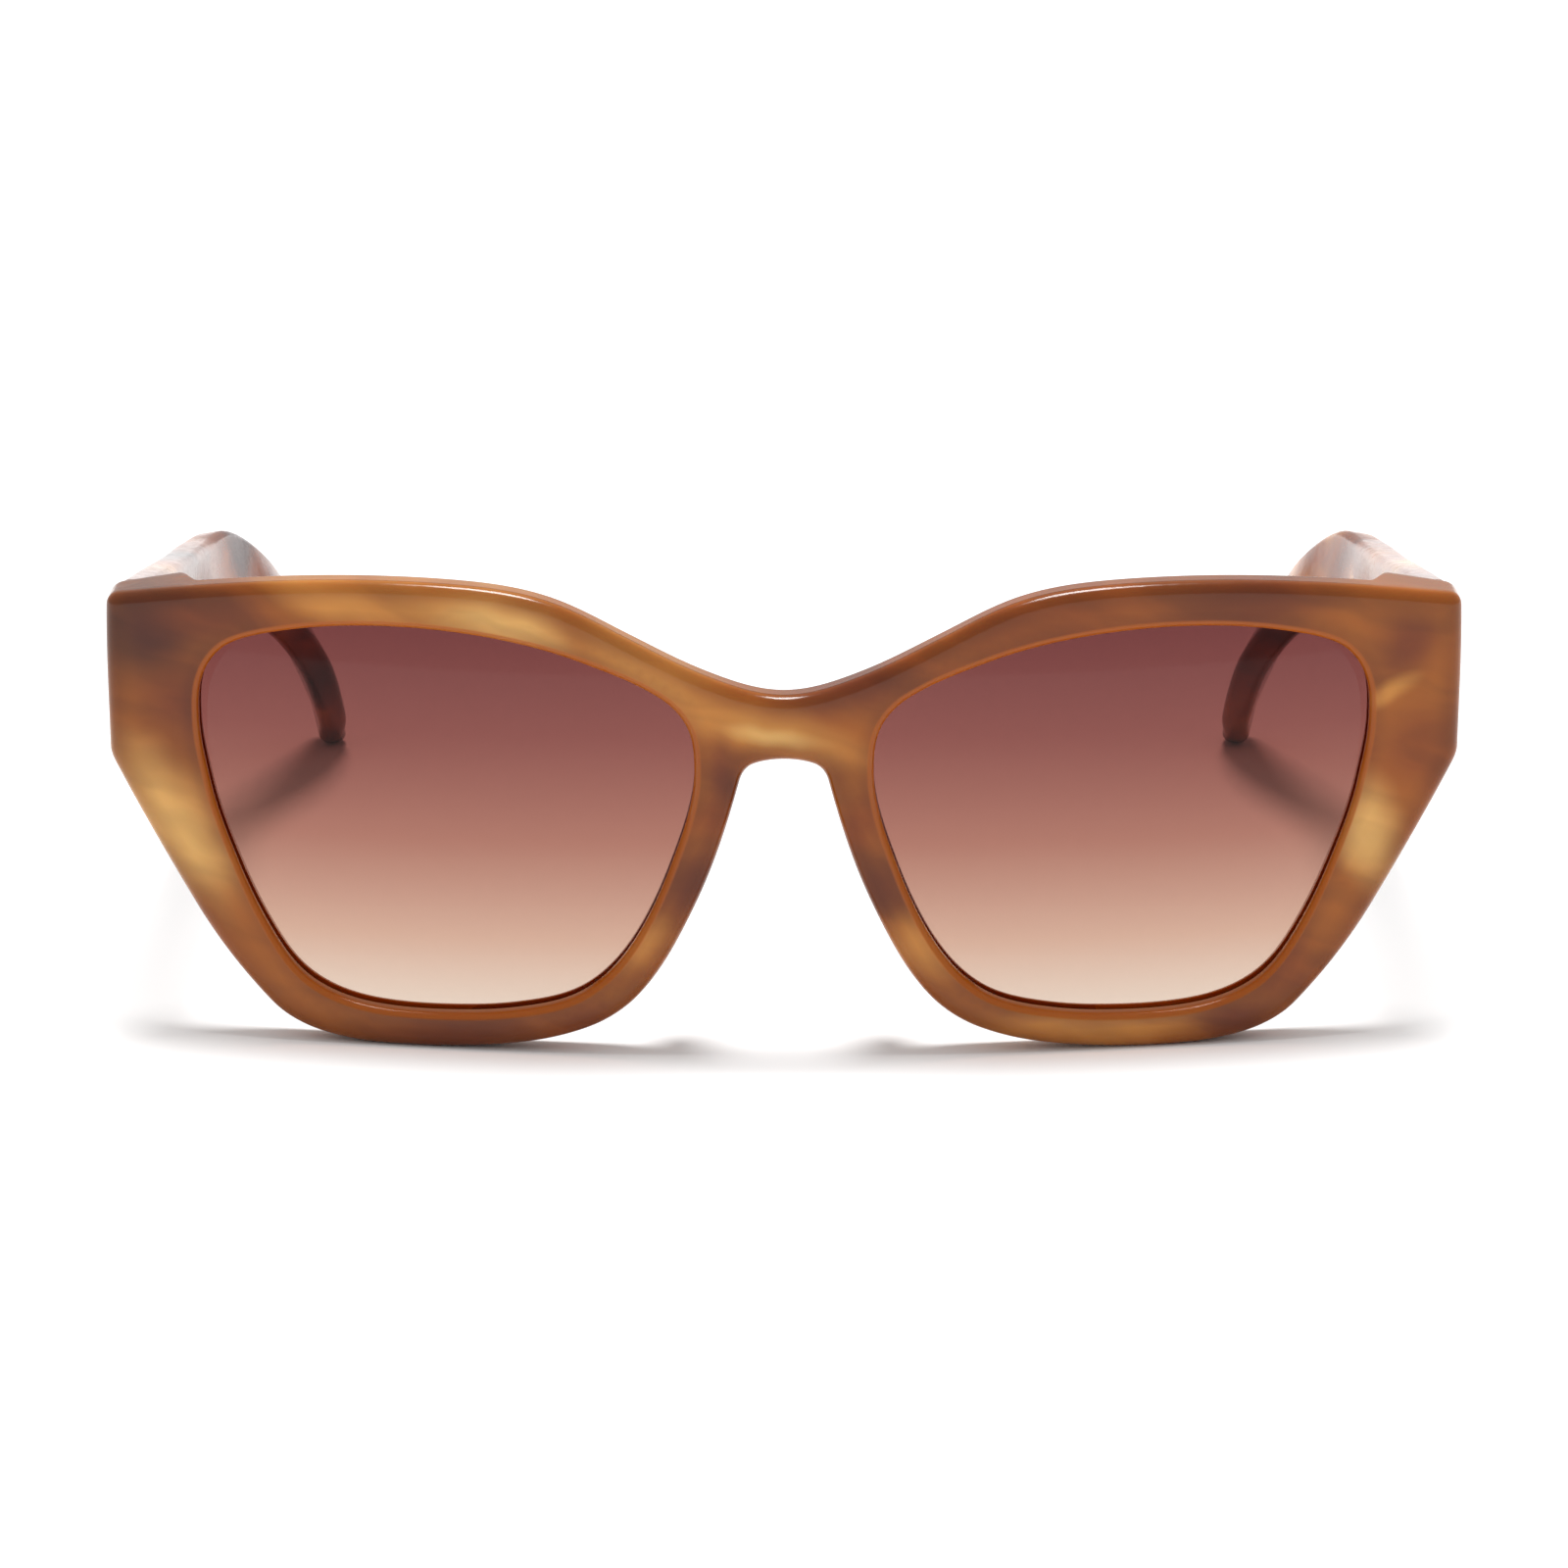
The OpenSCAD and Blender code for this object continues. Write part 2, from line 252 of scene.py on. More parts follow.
def rear_y(p):
    """The back of the front: a plate, with a lug behind each end that the temple butts against."""
    plate = FRONT_R - np.sqrt((FRONT_R - FRONT_T) ** 2 - p[:, 0] ** 2)
    lug = PIN[1] + (p[:, 1] - PIN[2]) * math.tan(SLOPE)
    across = smooth((np.abs(p[:, 0]) - LUG_INNER) / LUG_BLEND)
    up = smooth((p[:, 1] - LUG_BOTTOM) / LUG_BOTTOM_BLEND)
    return plate + across * up * (lug - plate)


def lens_centre():
    """Distance from the middle, and depth, of the centre of a lens's spherical front."""
    turn = math.asin(LENS_MID[0] / FRONT_R)
    crown = FRONT_R - math.sqrt(FRONT_R**2 - LENS_MID[0] ** 2) + LENS_SINK
    return LENS_MID[0] - LENS_R * math.sin(turn), crown + LENS_R * math.cos(turn)


def lens_y(p, depth):
    """A lens's surface, depth behind its front."""
    cx, cy = lens_centre()
    r = LENS_R - depth
    return cy - np.sqrt(r**2 - (np.abs(p[:, 0]) - cx) ** 2 - (p[:, 1] - LENS_MID[1]) ** 2)


def lens_normal(p, side):
    """The direction straight out of a lens's front."""
    across = (np.abs(p[:, 0]) - lens_centre()[0]) / LENS_R
    up = (p[:, 1] - LENS_MID[1]) / LENS_R
    return np.column_stack([side * across, -np.sqrt(1 - across**2 - up**2), up])


# ---------------------------------------------------------------- meshes
def placed(p, y):
    """2D points and their depths as vertices in the row frame, in metres."""
    return np.column_stack([p[:, 0] * MM, y * MM + BRIDGE_Y, p[:, 1] * MM])


class Shell:
    """Vertices and faces of one closed skin."""

    def __init__(self):
        self.verts = []
        self.faces = []
        self.count = 0

    def add(self, verts):
        start = self.count
        self.verts.append(verts)
        self.count += len(verts)
        return np.arange(start, self.count)

    def band(self, rings):
        """Joins neighbouring rings of the same length."""
        for a, b in zip(rings, rings[1:]):
            n = len(a)
            self.faces += [(a[i], a[(i + 1) % n], b[(i + 1) % n], b[i]) for i in range(n)]

    def make(self, name, sharp=40):
        mesh = bpy.data.meshes.new(name)
        mesh.from_pydata(np.vstack(self.verts).tolist(), [], [tuple(map(int, f)) for f in self.faces])
        obj = bpy.data.objects.new(name, mesh)
        bpy.context.collection.objects.link(obj)
        finish_mesh(obj, sharp)
        return obj


def finish_mesh(obj, sharp):
    """Merges doubles, turns every face outwards, and shades it smooth up to a sharp angle."""
    bm = bmesh.new()
    bm.from_mesh(obj.data)
    bmesh.ops.remove_doubles(bm, verts=bm.verts, dist=1e-7)
    bmesh.ops.recalc_face_normals(bm, faces=bm.faces)
    bm.to_mesh(obj.data)
    bm.free()
    obj.data.shade_smooth()
    obj.data.set_sharp_from_angle(angle=math.radians(sharp))


def applied(obj):
    """Bakes an object's modifiers into its mesh."""
    graph = bpy.context.evaluated_depsgraph_get()
    mesh = bpy.data.meshes.new_from_object(obj.evaluated_get(graph))
    obj.modifiers.clear()
    obj.data = mesh


def cut(obj, cutters, sharp=40):
    """Takes the cutters out of a piece."""
    for cutter in cutters:
        mod = obj.modifiers.new("cut", "BOOLEAN")
        mod.operation = "DIFFERENCE"
        mod.solver = "EXACT"
        mod.object = cutter
    applied(obj)
    for cutter in cutters:
        bpy.data.objects.remove(cutter)
    finish_mesh(obj, sharp)


def hinge_matrix(side):
    """The hinge's frame: Z along the pin, Y back along the temple, X outwards."""
    x = Vector((side, 0, 0))
    y = Vector((0, math.cos(SLOPE), -math.sin(SLOPE)))
    z = Vector((0, math.sin(SLOPE), math.cos(SLOPE)))
    m = Matrix((x, y, z)).transposed().to_4x4()
    m.translation = Vector((side * PIN[0] * MM, PIN[1] * MM + BRIDGE_Y, PIN[2] * MM))
    return m


def cutter_mesh(name, build, matrix):
    """A solid to cut with, made by build and moved by matrix."""
    bm = bmesh.new()
    build(bm)
    bmesh.ops.transform(bm, matrix=matrix, verts=bm.verts)
    bmesh.ops.recalc_face_normals(bm, faces=bm.faces)
    mesh = bpy.data.meshes.new(name)
    bm.to_mesh(mesh)
    bm.free()
    obj = bpy.data.objects.new(name, mesh)
    bpy.context.collection.objects.link(obj)
    return obj


def relief_cutter(side):
    """Room round the knuckles."""
    def build(bm):
        bmesh.ops.create_cone(bm, cap_ends=True, segments=48, radius1=RELIEF_R * MM,
                              radius2=RELIEF_R * MM, depth=RELIEF_H * MM)
    return cutter_mesh("relief", build, hinge_matrix(side))


def leaf_cutter(side):
    """The recess that the temple's leaf lies in."""
    size = Vector((LEAF_T, LEAF_END - LEAF_START, LEAF_H)) * MM
    centre = Vector((LEAF_X + LEAF_T / 2, (LEAF_END + LEAF_START) / 2, 0)) * MM

    def build(bm):
        bmesh.ops.create_cube(bm, size=1)
        bmesh.ops.scale(bm, vec=size, verts=bm.verts)
        bmesh.ops.translate(bm, vec=centre, verts=bm.verts)
    return cutter_mesh("leaf_recess", build, hinge_matrix(side))


# ---------------------------------------------------------------- the front
EDGE_BEVEL = 1.3
OPENING_BEVEL = 0.8
BEVEL_STEPS = 5
GROOVE_GAP = 0.04
LENS_SPARE = 0.02
# The faces are filled between these corners, and more finely round each lug.
FACE_LOW = (-74, 0)
FACE_HIGH = (74, 52)
LUG_MID = 68.2
LUG_HALF = 5.8
LUG_LOW = 28.5
LUG_HIGH = 50
# Where the painted shade starts, peaks and fades at the outer rim, and at the lips of the openings.
RIM_START = 0.35
RIM_PEAK = 0.7
RIM_FADE = 2.6
LIP_SHADE = 0.7
LIP_FADE = 1.6
PAINT_SPARE = 0.05


def bevel(r):
    """Inset and depth of a quarter round, from the face to the wall."""
    for k in range(BEVEL_STEPS + 1):
        a = math.pi / 2 * k / BEVEL_STEPS
        yield r * (1 - math.sin(a)), r * (1 - math.cos(a))


def ring(shell, loop, d, y):
    """Adds a loop, grown by d, at the depths that y gives."""
    p = grown(loop, d)
    return shell.add(placed(p, y(p)))


def outer_wall(shell, edge, first, last):
    """Joins the two faces round the outside, with rounded edges."""
    rounds = list(bevel(EDGE_BEVEL))
    rings = [first]
    for d, depth in rounds[1:]:
        rings.append(ring(shell, edge, -d, lambda p: front_y(p) + depth))
    for share in (0.25, 0.5, 0.75):
        rings.append(ring(shell, edge, 0, lambda p: front_y(p) * (1 - share) + rear_y(p) * share))
    for d, depth in rounds[:0:-1]:
        rings.append(ring(shell, edge, -d, lambda p: rear_y(p) - depth))
    shell.band([*rings, last])


def opening_wall(shell, loop, first, last):
    """Joins the two faces inside an opening, with rounded edges and a groove for the lens."""
    rounds = list(bevel(OPENING_BEVEL))
    rings = [first]
    for d, depth in rounds[1:]:
        rings.append(ring(shell, loop, d, lambda p: front_y(p) + depth))
    before, behind = -GROOVE_GAP, LENS_T + GROOVE_GAP
    for d, depth in ((0, before), (LENS_SEAT, before), (LENS_SEAT, behind), (0, behind)):
        rings.append(ring(shell, loop, d, lambda p: lens_y(p, 0) + depth))
    for d, depth in rounds[:0:-1]:
        rings.append(ring(shell, loop, d, lambda p: rear_y(p) - depth))
    shell.band([*rings, last])


def front_mesh():
    shell = Shell()
    edge = edge_loop(OUTLINE_GAP)
    openings = [opening_loop(side, OUTLINE_GAP) for side in SIDES.values()]
    grids = []
    for side in SIDES.values():
        low = (side * LUG_MID - LUG_HALF, LUG_LOW)
        high = (side * LUG_MID + LUG_HALF, LUG_HIGH)
        grids.append((hex_grid(low, high, LUG_GAP), LUG_GAP))
    grids.append((hex_grid(FACE_LOW, FACE_HIGH, FACE_GAP), FACE_GAP))
    face, triangles = fill(grown(edge, -EDGE_BEVEL), [grown(loop, OPENING_BEVEL) for loop in openings], grids)
    front_ids = shell.add(placed(face, front_y(face)))
    rear_ids = shell.add(placed(face, rear_y(face)))
    shell.faces += front_ids[triangles].tolist()
    shell.faces += rear_ids[triangles[:, ::-1]].tolist()

    start = len(edge)
    outer_wall(shell, edge, front_ids[:start], rear_ids[:start])
    for loop in openings:
        own = slice(start, start + len(loop))
        start += len(loop)
        opening_wall(shell, loop, front_ids[own], rear_ids[own])
    front = shell.make("front")
    cut(front, [relief_cutter(side) for side in SIDES.values()])
    paint_shade_and_glow(front, edge, [grown(loop, OPENING_BEVEL - PAINT_SPARE) for loop in openings])
    return front


def paint_shade_and_glow(obj, edge, openings):
    """Marks painted shade along the rounded outer edge and the lips of the openings, and a painted orange
    glow on the opening walls.
    """
    where = np.array([v.co for v in obj.data.vertices])[:, (0, 2)] / MM
    away = distance(where, edge)
    rim_shade = smooth(away / RIM_START) * (1 - smooth((away - RIM_PEAK) / RIM_FADE))
    glowing_walls = np.logical_or(*(inside(where, loop) for loop in openings))
    lip_shade = LIP_SHADE * (1 - smooth(distance(where, np.vstack(openings)) / LIP_FADE))
    painted_shade = np.where(glowing_walls, 0, np.maximum(rim_shade, lip_shade))
    for name, values in (("edge", painted_shade), ("wall", glowing_walls.astype(float))):
        obj.data.attributes.new(name, "FLOAT", "POINT").data.foreach_set("value", values)


def lens_mesh(name, side):
    shell = Shell()
    loop = grown(opening_loop(side, LENS_OUTLINE_GAP), LENS_SEAT - LENS_SPARE)
    points, triangles = fill(loop, [], [(hex_grid(loop.min(0), loop.max(0), LENS_GAP), LENS_GAP)])
    near = shell.add(placed(points, lens_y(points, 0)))
    far = shell.add(placed(points, lens_y(points, LENS_T)))
    shell.faces += near[triangles].tolist()
    shell.faces += far[triangles[:, ::-1]].tolist()
    n = len(loop)
    shell.band([near[:n], far[:n]])
    lens = shell.make(name)
    outwards = lens_normal(points, side)
    lens.data.normals_split_custom_set_from_vertices(np.vstack([outwards, -outwards]).tolist())
    return lens


# ---------------------------------------------------------------- the temples
SECTION_STEPS = 12
CORNER_R = 1.2
CORNER_SHARE = 0.45
CORNER_STEPS = 6
END_BEVEL = 0.2


def blended(a, b, c, d, t):
    """A smooth step from b to c, with a and d on either side."""
    return 0.5 * (2 * b + (c - a) * t + (2 * a - 5 * b + 4 * c - d) * t**2 + (3 * b - 3 * c + d - a) * t**3)


def temple_line():
    """Sections from the joint to the tip, with a rounded end."""
    s = np.array(TEMPLE_SECTIONS, float)
    s = np.vstack([2 * s[0] - s[1], s, 2 * s[-1] - s[-2]])
    line = [blended(*s[i:i + 4], k / SECTION_STEPS) for i in range(len(s) - 3) for k in range(SECTION_STEPS)]
    last = s[-2]
    line.append(last)
    pitch = math.radians(last[2])
    for k in range(1, TIP_STEPS + 1):
        a = math.radians(TIP_LAST * k / TIP_STEPS)
        ahead = TIP_LEN * math.sin(a)
        step = last.copy()
        step[0] += ahead * math.cos(pitch)
        step[1] += ahead * math.sin(pitch)
        step[3] -= ahead * TIP_BEND
        step[5:] *= math.cos(a)
        line.append(step)
    return line


def rounded(h, t):
    """A rounded rectangle, h high and t thick, as points across and up."""
    r = min(CORNER_R, CORNER_SHARE * min(h, t))
    points = []
    for q, (sx, sz) in enumerate(((1, 1), (-1, 1), (-1, -1), (1, -1))):
        for k in range(CORNER_STEPS + 1):
            a = math.pi / 2 * (q + k / CORNER_STEPS)
            points.append((sx * (t / 2 - r) + r * math.cos(a), sz * (h / 2 - r) + r * math.sin(a)))
    return np.array(points)


def stand(outline, s, side):
    """Stands a flat outline up on a section. Lean rolls its bottom inwards."""
    lean, pitch = math.radians(s[4]), math.radians(s[2])
    across = outline[:, 0] * math.cos(lean) + outline[:, 1] * math.sin(lean)
    up = outline[:, 1] * math.cos(lean) - outline[:, 0] * math.sin(lean)
    x = side * (s[3] + across)
    y = s[0] - up * math.sin(pitch)
    z = s[1] + up * math.cos(pitch)
    return np.column_stack([x * MM, y * MM + BRIDGE_Y, z * MM])


def temple_mesh(name, side):
    shell = Shell()
    line = temple_line()
    rings = []
    first = line[0]
    for inset in (END_BEVEL, END_BEVEL * 0.3):
        ring = stand(rounded(first[5] - 2 * inset, first[6] - 2 * inset), first, side)
        rings.append(shell.add(ring))
    for i, s in enumerate(line):
        if i == 0:
            s = s.copy()
            s[0] += END_BEVEL * math.cos(SLOPE)
            s[1] -= END_BEVEL * math.sin(SLOPE)
        rings.append(shell.add(stand(rounded(s[5], s[6]), s, side)))
    shell.band(rings)
    shell.faces.append(rings[0][::-1].tolist())
    shell.faces.append(rings[-1].tolist())
    obj = shell.make(name, 50)
    cut(obj, [relief_cutter(side), leaf_cutter(side)], 30)
    return obj


def pad_mesh(name, node):
    """A soft pad, from the CAD solid rounded off all over."""
    obj = bpy.data.objects.new(name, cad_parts[node].data.copy())
    bpy.context.collection.objects.link(obj)
    remesh = obj.modifiers.new("even", "REMESH")
    remesh.mode = "VOXEL"
    remesh.voxel_size = 0.22 * MM
    soften = obj.modifiers.new("soften", "SMOOTH")
    soften.factor = 0.5
    soften.iterations = 6
    applied(obj)
    finish_mesh(obj, 80)
    return obj


# ---------------------------------------------------------------- materials
AMBER = (0.33, 0.092, 0.008)
ORANGE = (0.25, 0.055, 0.005)
BROWN = (0.165, 0.033, 0.006)
DARK = (0.055, 0.009, 0.005)
GOLD = (0.56, 0.23, 0.042)
CREAM = (0.70, 0.39, 0.115)
# Colour of the painted orange glow on the opening walls.
PAINTED_WALL_GLOW = (0.34, 0.078, 0.002)
JOINT_END = (0.21, 0.055, 0.018)

# Streaks in the front's acetate: x and z of the middle, half length, half width, turn and colour.
STREAKS = [
    (-68, 45, 10, 9, 0, DARK), (-62, 47, 8, 4, 0, BROWN), (-64.5, 36, 7, 7, 0, BROWN),
    (-65.5, 23, 12, 4.6, -52, CREAM), (-57, 12, 9, 5, -60, AMBER), (-35, 1.5, 14, 3.4, 0, BROWN),
    (-48.5, 49, 11, 2.6, -20, GOLD), (-36, 47.8, 14, 4.5, -10, GOLD), (-30, 47, 9, 3, -16, CREAM),
    (-20.5, 45.8, 4, 2.6, -30, AMBER), (-14.5, 42, 11, 4.6, -35, GOLD),
    (8, 41, 11, 4.6, 25, BROWN), (-1, 35.4, 12, 2.8, -17, GOLD), (-1, 35, 6, 1.2, -12, CREAM),
    (-7.5, 30.5, 3, 6, 0, BROWN), (-8.6, 26, 3.6, 3.6, 0, ORANGE), (-10, 19, 4, 5, -20, BROWN),
    (-15, 12.5, 4, 2.8, 40, GOLD), (-22, 4, 6, 3, 0, ORANGE),
    (27, 47.8, 19, 5, 12, ORANGE),
    (50, 48.8, 13, 5, -4, BROWN), (67, 43, 5, 5, 0, BROWN),
    (65, 38, 4, 1.6, 10, GOLD), (69, 31.5, 7, 5, 0, ORANGE), (63.5, 23, 4.5, 8, 25, CREAM),
    (54.5, 8, 7, 4, 50, ORANGE), (34, 2.4, 14, 3, 0, GOLD), (49, 2.6, 5, 3, 0, BROWN),
    (8.6, 25, 3.2, 5, 0, ORANGE), (11, 18.8, 3.6, 5, 20, BROWN), (16, 12, 5, 4, -40, GOLD),
]


# A streak's cover fades from its core outwards, and it runs through the whole depth of the front.
STREAK_CORE = 0.1
STREAK_END = 1.25
STREAK_COVER = 0.95
ANY_DEPTH = 1e4


class Nodes:
    """Short calls for building one material's nodes."""

    def __init__(self, name):
        self.material = bpy.data.materials.new(name)
        self.material.use_nodes = True
        self.tree = self.material.node_tree
        self.tree.nodes.clear()

    def add(self, kind, **values):
        node = self.tree.nodes.new(kind)
        for key, value in values.items():
            setattr(node, key, value)
        return node

    def link(self, out, into):
        self.tree.links.new(out, into)

    def position(self):
        """The piece's own coordinates in millimetres."""
        coord = self.add("ShaderNodeTexCoord")
        scale = self.add("ShaderNodeVectorMath", operation="SCALE")
        scale.inputs["Scale"].default_value = 1 / MM
        self.link(coord.outputs["Object"], scale.inputs[0])
        return scale.outputs[0]

    def mapping(self, vector, where, turn, size):
        """Coordinates seen from a place, turned about Y and measured in units of size."""
        node = self.add("ShaderNodeMapping", vector_type="TEXTURE")
        node.inputs["Location"].default_value = where
        node.inputs["Rotation"].default_value = (0, -math.radians(turn), 0)
        node.inputs["Scale"].default_value = size
        self.link(vector, node.inputs["Vector"])
        return node.outputs[0]

    def noise(self, vector, scale, detail=2, rough=0.5, distortion=0):
        node = self.add("ShaderNodeTexNoise")
        node.inputs["Scale"].default_value = scale
        node.inputs["Detail"].default_value = detail
        node.inputs["Roughness"].default_value = rough
        node.inputs["Distortion"].default_value = distortion
        self.link(vector, node.inputs["Vector"])
        return node

    def vector(self, operation, a, b):
        node = self.add("ShaderNodeVectorMath", operation=operation)
        self.put(a, node.inputs[0])
        self.put(b, node.inputs[1])
        return node.outputs[0]

    def put(self, value, socket):
        if isinstance(value, bpy.types.NodeSocket):
            self.link(value, socket)
        else:
            socket.default_value = value

    def attribute(self, name, share):
        """A share of a value painted on the mesh."""
        node = self.add("ShaderNodeAttribute", attribute_name=name)
        return self.remap(node.outputs["Fac"], 0, 1, 0, share, False)

    def remap(self, value, low, high, to_low, to_high, soft=True):
        """Carries one span of values over to another, with soft or straight ends."""
        node = self.add("ShaderNodeMapRange")
        node.interpolation_type = "SMOOTHSTEP" if soft else "LINEAR"
        for key, number in zip(("From Min", "From Max", "To Min", "To Max"), (low, high, to_low, to_high)):
            node.inputs[key].default_value = number
        self.link(value, node.inputs["Value"])
        return node.outputs["Result"]

    def mix(self, factor, a, b, blend="MIX"):
        node = self.add("ShaderNodeMix", data_type="RGBA", blend_type=blend)
        self.put(factor, node.inputs["Factor"])
        self.put(rgba(a), node.inputs["A"])
        self.put(rgba(b), node.inputs["B"])
        return node.outputs["Result"]

    def ramp(self, value, stops):
        """Colours for a value from 0 to 1, through stops of place and colour."""
        node = self.add("ShaderNodeValToRGB")
        elements = node.color_ramp.elements
        while len(elements) < len(stops):
            elements.new(0.5)
        for element, (at, shade) in zip(elements, stops):
            element.position = at
            element.color = rgba(shade)
        self.link(value, node.inputs[0])
        return node.outputs["Color"]

    def axis(self, vector, name):
        """One coordinate of a vector."""
        node = self.add("ShaderNodeSeparateXYZ")
        self.link(vector, node.inputs[0])
        return node.outputs[name]

    def bump(self, height, strength, depth):
        node = self.add("ShaderNodeBump")
        node.inputs["Strength"].default_value = strength
        node.inputs["Distance"].default_value = depth
        self.link(height, node.inputs["Height"])
        return node.outputs["Normal"]

    def finish(self, shader):
        out = self.add("ShaderNodeOutputMaterial")
        self.link(shader, out.inputs["Surface"])
        return self.material


def rgba(value):
    """A plain colour with its alpha. Sockets pass through."""
    return (*value, 1) if isinstance(value, tuple) and len(value) == 3 else value


def polished(n, color):
    """The shader of polished acetate: slightly see-through and glossy, with faint polishing marks."""
    position = n.position()
    shader = n.add("ShaderNodeBsdfPrincipled")
    n.put(rgba(color), shader.inputs["Base Color"])
    marks = n.noise(n.mapping(position, (0, 0, 0), 20, (6, 1, 0.6)), 1.6, 4, 0.6)
    n.link(n.remap(marks.outputs["Fac"], 0.3, 0.7, 0.12, 0.2), shader.inputs["Roughness"])
    waves = n.noise(position, 0.35, 2)
    n.link(n.bump(waves.outputs["Fac"], 0.25, 0.00012), shader.inputs["Normal"])
    shader.inputs["IOR"].default_value = 1.48
    shader.inputs["Specular IOR Level"].default_value = 0.3
    shader.inputs["Subsurface Weight"].default_value = 0.3
    shader.inputs["Subsurface Radius"].default_value = (1, 0.42, 0.16)
    shader.inputs["Subsurface Scale"].default_value = 0.0022
    shader.inputs["Coat Weight"].default_value = 0.06
    shader.inputs["Coat Roughness"].default_value = 0.09
    return n.finish(shader.outputs[0])


def warped(n, position, amount):
    """The position, pushed about gently by up to half of amount."""
    drift = n.noise(position, 0.075, 2, 0.5)
    centred = n.vector("SUBTRACT", drift.outputs["Color"], (0.5, 0.5, 0.5))
    return n.vector("ADD", position, n.vector("MULTIPLY", centred, (amount,) * 3))


def fine_streaks(n, position, color, turn, amount):
    """Thin drawn-out veils, as in poured sheet acetate."""
    veil = n.noise(n.mapping(position, (0, 0, 0), turn, (16, 6, 3.4)), 1, 2.5, 0.45, 0.4)
    light = n.remap(veil.outputs["Fac"], 0.35, 0.68, 1 - amount, 1 + amount)
    return n.mix(1.0, color, grey(n, light), "MULTIPLY")


def grey(n, value):
    node = n.add("ShaderNodeCombineColor")
    for k in range(3):
        n.link(value, node.inputs[k])
    return node.outputs[0]


def front_acetate():
    """Soft streaks laid over amber, with painted shade at the rims and a painted orange glow on the opening
    walls.
    """
    n = Nodes("streaked_acetate_front")
    position = n.position()
    bent = warped(n, position, 6)
    color = AMBER
    for x, z, long, wide, turn, shade in STREAKS:
        local = n.mapping(bent, (x, 0, z), turn, (long, ANY_DEPTH, wide))
        away = n.add("ShaderNodeVectorMath", operation="LENGTH")
        n.link(local, away.inputs[0])
        cover = n.remap(away.outputs["Value"], STREAK_END, STREAK_CORE, 0, STREAK_COVER)
        color = n.mix(cover, color, shade)
    color = fine_streaks(n, bent, color, -18, 0.1)
    # Painted shade: darker near the outer edge and along the lips of the openings.
    color = n.mix(n.attribute("edge", 0.7), color, n.mix(1.0, color, (0.58, 0.5, 0.5), "MULTIPLY"))
    # Painted glow: the opening walls turn a saturated orange.
    return polished(n, n.mix(n.attribute("wall", 0.85), color, PAINTED_WALL_GLOW))


# Shades of the temples' bands, and how far from the pin the plain joint end gives way to them.
TEMPLE_SHADES = ((0.3, DARK), (0.42, BROWN), (0.5, ORANGE), (0.57, AMBER), (0.65, GOLD), (0.74, CREAM))
PLAIN_LEN = 8
FULL_LEN = 45


def temple_acetate(side):
    n = Nodes("streaked_acetate_" + ("left" if side > 0 else "right"))
    position = n.position()
    bent = warped(n, position, 6)
    stretched = n.mapping(bent, (side * 37, 11, 5), 0, (12, 34, 11))
    bands = n.noise(stretched, 1.1, 2, 0.45, 0.3)
    color = n.ramp(bands.outputs["Fac"], TEMPLE_SHADES)
    start = BRIDGE_Y / MM + PIN[1]
    along = n.remap(n.axis(position, "Y"), start + PLAIN_LEN, start + FULL_LEN, 0, 1)
    color = n.mix(along, JOINT_END, color)
    return polished(n, fine_streaks(n, bent, color, 0, 0.1))


def pad_acetate():
    n = Nodes("acetate_pads")
    tone = n.noise(n.position(), 0.3, 3)
    color = n.mix(n.remap(tone.outputs["Fac"], 0.35, 0.65, 0, 1), AMBER, ORANGE)
    return polished(n, color)


# Tint of one pass through a lens surface, from the bottom of the lens to its top.
TINT = ((0.0, (0.81, 0.75, 0.69)), (0.2, (0.71, 0.57, 0.495)), (0.45, (0.565, 0.375, 0.325)),
        (0.72, (0.44, 0.25, 0.232)), (1.0, (0.355, 0.185, 0.185)))
# Share of light that a lens reflects when seen straight on and at grazing angles.
SHEEN_LOW = 0.012
SHEEN_HIGH = 0.7


def lens_glass():
    n = Nodes("gradient_lens")
    bottom, top = (v[2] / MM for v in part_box("left_lens"))
    height = n.remap(n.axis(n.position(), "Z"), bottom, top, 0, 1, False)
    clear = n.add("ShaderNodeBsdfTransparent")
    n.link(n.ramp(height, TINT), clear.inputs["Color"])
    shine = n.add("ShaderNodeBsdfGlossy")
    shine.inputs["Roughness"].default_value = 0.05
    # Rises to grazing in the same way from either side of a surface, so light isn't trapped in the lens.
    layer = n.add("ShaderNodeLayerWeight")
    grazing = n.add("ShaderNodeMath", operation="POWER")
    grazing.inputs[1].default_value = 5
    n.link(layer.outputs["Facing"], grazing.inputs[0])
    mixed = n.add("ShaderNodeMixShader")
    n.link(n.remap(grazing.outputs[0], 0, 1, SHEEN_LOW, SHEEN_HIGH, False), mixed.inputs[0])
    n.link(clear.outputs[0], mixed.inputs[1])
    n.link(shine.outputs[0], mixed.inputs[2])
    return n.finish(mixed.outputs[0])


def metal(name, color, rough):
    """Brushed metal, with fine lines in its colour, gloss and surface."""
    n = Nodes(name)
    position = n.position()
    shader = n.add("ShaderNodeBsdfPrincipled")
    shader.inputs["Metallic"].default_value = 1
    brushing = n.noise(n.mapping(position, (0, 0, 0), 0, (0.25, 4, 0.25)), 2.5, 5, 0.65)
    dull = tuple(c * 0.82 for c in color)
    n.link(n.mix(n.remap(brushing.outputs["Fac"], 0.3, 0.7, 0, 1), color, dull), shader.inputs["Base Color"])
    n.link(n.remap(brushing.outputs["Fac"], 0.3, 0.7, rough, rough + 0.12), shader.inputs["Roughness"])
    n.link(n.bump(brushing.outputs["Fac"], 0.2, 0.00003), shader.inputs["Normal"])
    return n.finish(shader.outputs[0])


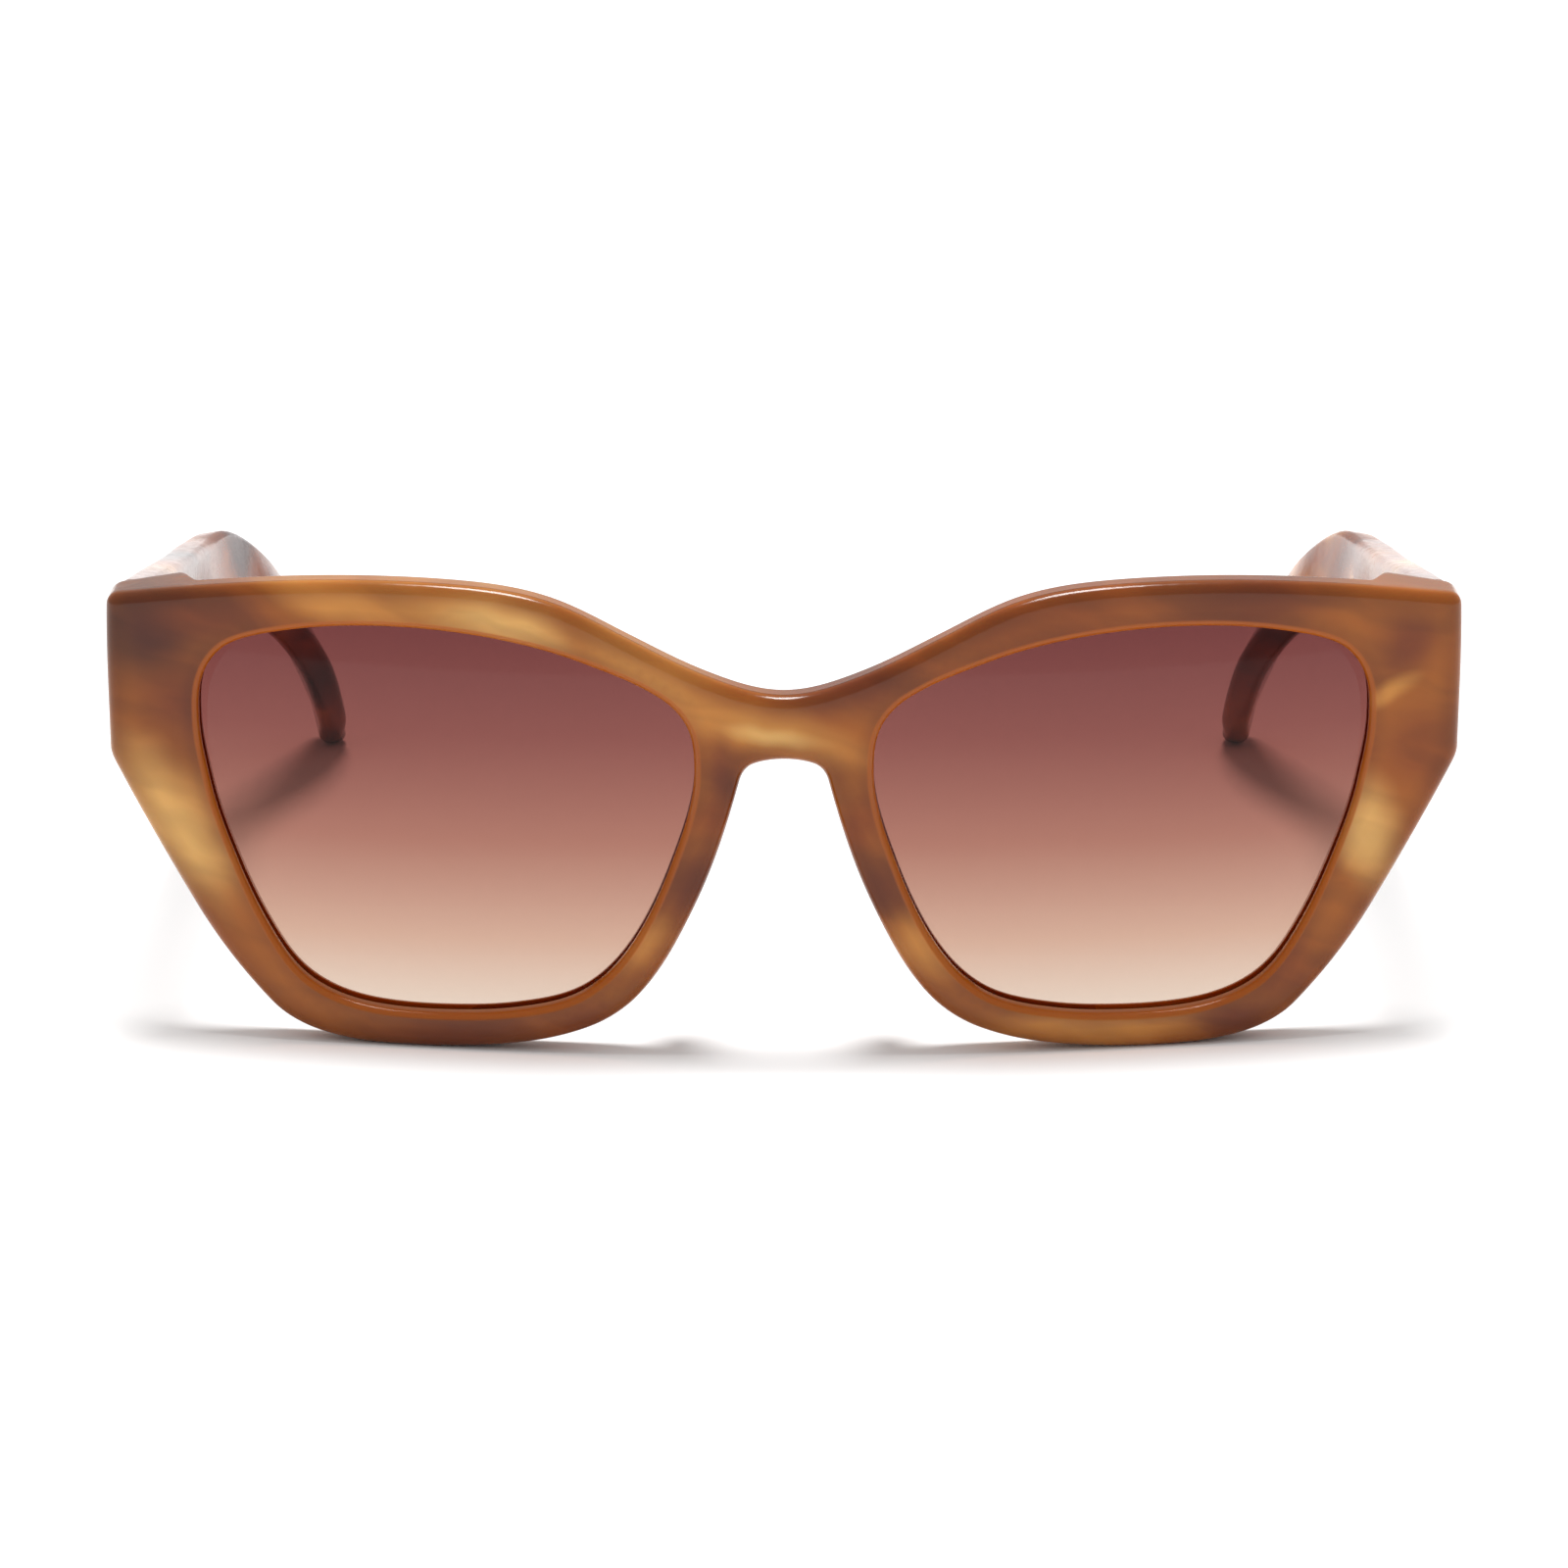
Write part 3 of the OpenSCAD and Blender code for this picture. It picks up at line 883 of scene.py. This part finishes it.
def table_white():
    n = Nodes("white_table")
    shader = n.add("ShaderNodeBsdfPrincipled")
    shader.inputs["Base Color"].default_value = (0.92, 0.92, 0.92, 1)
    shader.inputs["Roughness"].default_value = 0.9
    shader.inputs["Specular IOR Level"].default_value = 0.1
    return n.finish(shader.outputs[0])


# ---------------------------------------------------------------- putting it together
def dress(obj, material):
    """Gives an object this material and no other."""
    obj.data.materials.clear()
    obj.data.materials.append(material)


def hardware(name, material):
    """A metal CAD node, kept as it is but with its edges broken."""
    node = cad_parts[name]
    dress(node, material)
    chamfer = node.modifiers.new("broken_edges", "BEVEL")
    chamfer.width = 0.07 * MM
    chamfer.segments = 2
    chamfer.limit_method = "ANGLE"
    chamfer.angle_limit = math.radians(50)


front = front_mesh()
dress(front, front_acetate())
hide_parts("front_frame")
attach(front, "front")

glass = lens_glass()
pads = pad_acetate()
hinge_steel = metal("hinge_steel", (0.62, 0.58, 0.52), 0.28)
screw_steel = metal("screw_steel", (0.66, 0.63, 0.58), 0.22)
rivet_steel = metal("rivet_steel", (0.7, 0.66, 0.6), 0.18)
for word, side in SIDES.items():
    lens = lens_mesh(word + "_tinted_lens", side)
    dress(lens, glass)
    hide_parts(word + "_lens")
    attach(lens, "front")

    pad = pad_mesh(word + "_pad", word + "_nose_pad")
    dress(pad, pads)
    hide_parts(word + "_nose_pad")
    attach(pad, "front")

    arm = temple_mesh(word + "_arm", side)
    dress(arm, temple_acetate(side))
    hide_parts(word + "_temple")
    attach(arm, word + "_arm")

    for part, material in (("front_hinge", hinge_steel), ("temple_hinge", hinge_steel),
                           ("hinge_screw", screw_steel), ("front_rivet", rivet_steel),
                           ("back_rivet", rivet_steel), ("core_wire", hinge_steel)):
        hardware(word + "_" + part, material)

# ---------------------------------------------------------------- table, light and camera
bpy.ops.mesh.primitive_plane_add(size=60)
table = bpy.context.object
table.name = "table"
dress(table, table_white())

sun = bpy.data.lights.new("overhead", "SUN")
sun.energy = 3.0
sun.angle = math.radians(21)
lamp = bpy.data.objects.new("overhead", sun)
lamp.rotation_euler = (math.radians(-7), 0, 0)
bpy.context.collection.objects.link(lamp)

world = bpy.data.worlds.new("soft_white")
world.use_nodes = True
world.node_tree.nodes["Background"].inputs["Color"].default_value = (1, 1, 1, 1)
world.node_tree.nodes["Background"].inputs["Strength"].default_value = 0.6
bpy.context.scene.world = world
bpy.context.scene.view_settings.view_transform = "Standard"

VIEW_UP = math.radians(14)
VIEW_AWAY = 0.7
target = Vector((0, BRIDGE_Y, 0.0303))
camera = bpy.data.cameras.new("camera")
camera.lens = 150.5
camera.sensor_width = 36
eye = bpy.data.objects.new("camera", camera)
eye.location = target + VIEW_AWAY * Vector((0, -math.cos(VIEW_UP), math.sin(VIEW_UP)))
eye.rotation_euler = (math.pi / 2 - VIEW_UP, 0, 0)
bpy.context.collection.objects.link(eye)
bpy.context.scene.camera = eye
